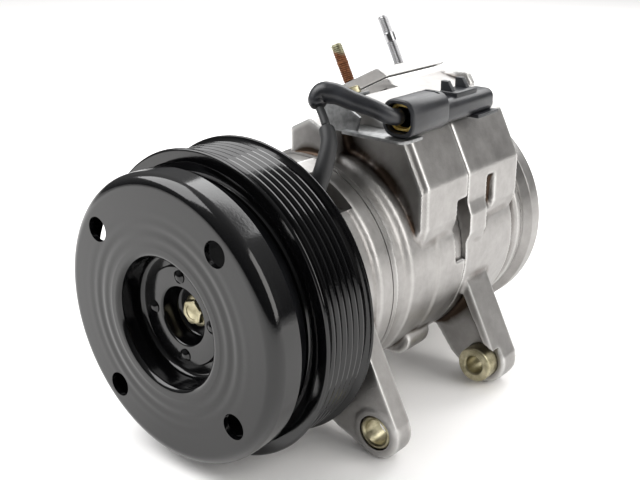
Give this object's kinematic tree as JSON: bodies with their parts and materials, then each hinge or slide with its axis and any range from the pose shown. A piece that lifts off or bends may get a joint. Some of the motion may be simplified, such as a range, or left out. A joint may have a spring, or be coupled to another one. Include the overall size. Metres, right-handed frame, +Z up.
{
  "type": "electromagnetic clutch with compressor",
  "caption": "Black electromagnetic clutch with ribbed belt pulley and dished cover, on its cast aluminium air conditioning compressor with mounting ears, ports and connector.",
  "frame": {"origin": "middle of the hub bolt's outer face, on the shaft's axis", "axes": "+Z up as the object stands on its pulley and ears; +Y along the shaft from the clutch to the rear head; +X to the right seen from the clutch"},
  "size_m": [0.1416, 0.213, 0.1709],
  "materials": {
    "black_paint": "gloss black baked enamel",
    "cast_aluminium": "blasted casting, satin",
    "steel": "machined",
    "bright_steel": "ground bright",
    "yellow_zinc": "yellow zinc plate",
    "rusted_steel": "rusted thread",
    "rubber": "matt",
    "black_plastic": "moulded satin",
    "yellow_seal": "moulded",
    "resin": "cast resin"
  },
  "bodies": {
    "compressor_body": {"bearing_inner_race": "bright_steel", "bearing_snap_ring": "bright_steel", "coil_housing": "steel", "coil_winding": "resin", "coil_boot": "rubber", "coil_lead": "rubber", "lead_sleeve": "black_plastic", "connector_shell": "black_plastic", "connector_plug": "black_plastic", "connector_seal": "yellow_seal", "connector_bracket": "steel", "bracket_screw": "yellow_zinc", "front_housing": "cast_aluminium", "shaft_seal": "rubber", "front_ear_bush": "yellow_zinc", "front_valve_plate": "steel", "front_block": "cast_aluminium", "rear_block": "cast_aluminium", "rear_ear_bush": "yellow_zinc", "rear_valve_plate": "steel", "rear_head": "cast_aluminium", "tie_bolt_1": "steel", "tie_bolt_2": "steel", "tie_bolt_3": "steel", "tie_bolt_4": "steel", "tie_bolt_5": "steel", "front_thrust_bearing": "bright_steel", "rear_thrust_bearing": "bright_steel", "front_radial_bearing": "bright_steel", "rear_radial_bearing": "bright_steel", "port_block": "cast_aluminium", "port_stud_1": "rusted_steel", "port_stud_2": "bright_steel"},
    "pulley": {"rotor_pulley": "black_paint", "bearing_outer_race": "bright_steel", "bearing_front_seal": "rubber", "bearing_rear_seal": "rubber"},
    "bearing_cage": {"bearing_balls_and_cage": "bright_steel"},
    "drive_hub": {"clutch_cover": "black_paint", "clutch_hub": "black_paint", "hub_bolt": "yellow_zinc", "air_gap_shim": "steel", "rubber_damper": "rubber", "leaf_spring": "steel", "compressor_shaft": "steel", "swash_plate": "steel", "hub_rivet_1": "black_paint", "hub_rivet_2": "black_paint", "hub_rivet_3": "black_paint", "hub_rivet_4": "black_paint"},
    "armature": {"armature_plate": "steel", "armature_rivet_1": "steel", "armature_rivet_2": "steel", "armature_rivet_3": "steel", "armature_rivet_4": "steel"},
    "piston_1_body": {"piston_1": "cast_aluminium"},
    "piston_2_body": {"piston_2": "cast_aluminium"},
    "piston_3_body": {"piston_3": "cast_aluminium"},
    "piston_4_body": {"piston_4": "cast_aluminium"},
    "piston_5_body": {"piston_5": "cast_aluminium"}
  },
  "joints": [
    {"name": "pulley_spin", "type": "hinge", "parent": "compressor_body", "child": "pulley", "pos_m": [0, 0, 0], "axis": [0, 1, 0], "continuous": true},
    {"name": "bearing_cage_spin", "type": "hinge", "parent": "compressor_body", "child": "bearing_cage", "pos_m": [0, 0, 0], "axis": [0, 1, 0], "continuous": true},
    {"name": "shaft_spin", "type": "hinge", "parent": "compressor_body", "child": "drive_hub", "pos_m": [0, 0, 0], "axis": [0, 1, 0], "continuous": true},
    {"name": "armature_slide", "type": "slide", "parent": "drive_hub", "child": "armature", "axis": [0, 1, 0], "range_m": [0, 0.0005], "stiffness_N_per_m": 20000, "springref_m": -0.0005},
    {"name": "piston_1_slide", "type": "slide", "parent": "compressor_body", "child": "piston_1_body", "axis": [0, 1, 0], "range_m": [-0.01, 0.01]},
    {"name": "piston_2_slide", "type": "slide", "parent": "compressor_body", "child": "piston_2_body", "axis": [0, 1, 0], "range_m": [-0.01, 0.01]},
    {"name": "piston_3_slide", "type": "slide", "parent": "compressor_body", "child": "piston_3_body", "axis": [0, 1, 0], "range_m": [-0.01, 0.01]},
    {"name": "piston_4_slide", "type": "slide", "parent": "compressor_body", "child": "piston_4_body", "axis": [0, 1, 0], "range_m": [-0.01, 0.01]},
    {"name": "piston_5_slide", "type": "slide", "parent": "compressor_body", "child": "piston_5_body", "axis": [0, 1, 0], "range_m": [-0.01, 0.01]}
  ],
  "couplings": [
    {"joint": "bearing_cage_spin", "follows": "pulley_spin", "ratio": 0.54}
  ]
}
